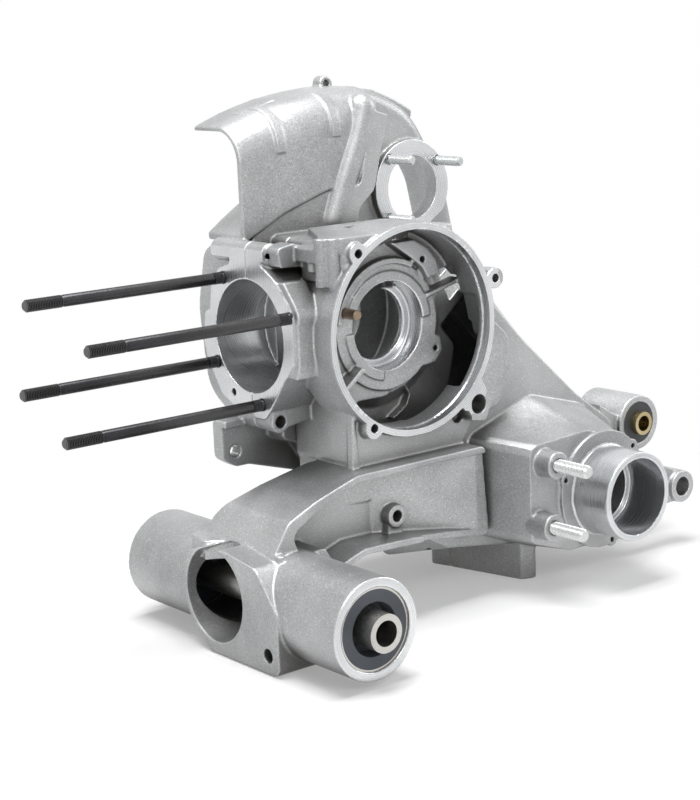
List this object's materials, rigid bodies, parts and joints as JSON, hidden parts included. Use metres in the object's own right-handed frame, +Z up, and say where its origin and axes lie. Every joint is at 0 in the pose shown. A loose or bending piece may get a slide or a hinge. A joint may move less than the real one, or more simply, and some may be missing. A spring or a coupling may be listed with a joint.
{
  "type": "engine crankcase",
  "caption": "Two-half die-cast engine crankcase with swing arm, wheel-hub tower and fan scroll, with its cylinder, starter and brake studs and pivot bushes fitted.",
  "frame": {"origin": "crank axis where it crosses the clutch cover face", "axes": "+X to the rear, away from the cylinder studs; +Y along the crank axis to the flywheel side; +Z up"},
  "size_m": [0.4267, 0.2144, 0.3112],
  "materials": {
    "cast_aluminium": "satin",
    "black_steel": "satin",
    "zinc_steel": "satin",
    "plain_steel": "satin",
    "grey_rubber": "matte",
    "black_rubber": "matte",
    "yellow_zinc": "satin",
    "bronze_pin": "satin"
  },
  "bodies": {
    "root": {"clutch_side_case": "cast_aluminium", "flywheel_side_case": "cast_aluminium", "cylinder_stud_1": "black_steel", "cylinder_stud_2": "black_steel", "cylinder_stud_3": "black_steel", "cylinder_stud_4": "black_steel", "brake_stud_1": "zinc_steel", "brake_stud_2": "zinc_steel", "starter_stud_1": "zinc_steel", "starter_stud_2": "zinc_steel", "starter_stud_3": "zinc_steel", "bush_outer_sleeve_near": "plain_steel", "bush_outer_sleeve_far": "plain_steel", "bush_inner_sleeve_near": "plain_steel", "bush_inner_sleeve_far": "plain_steel", "pivot_spacer_tube": "plain_steel", "bush_rubber_near": "grey_rubber", "bush_rubber_far": "grey_rubber", "shock_rubber": "black_rubber", "shock_sleeve": "yellow_zinc", "locating_pin": "bronze_pin", "joint_dowel_1": "plain_steel", "joint_dowel_2": "plain_steel"}
  },
  "joints": []
}
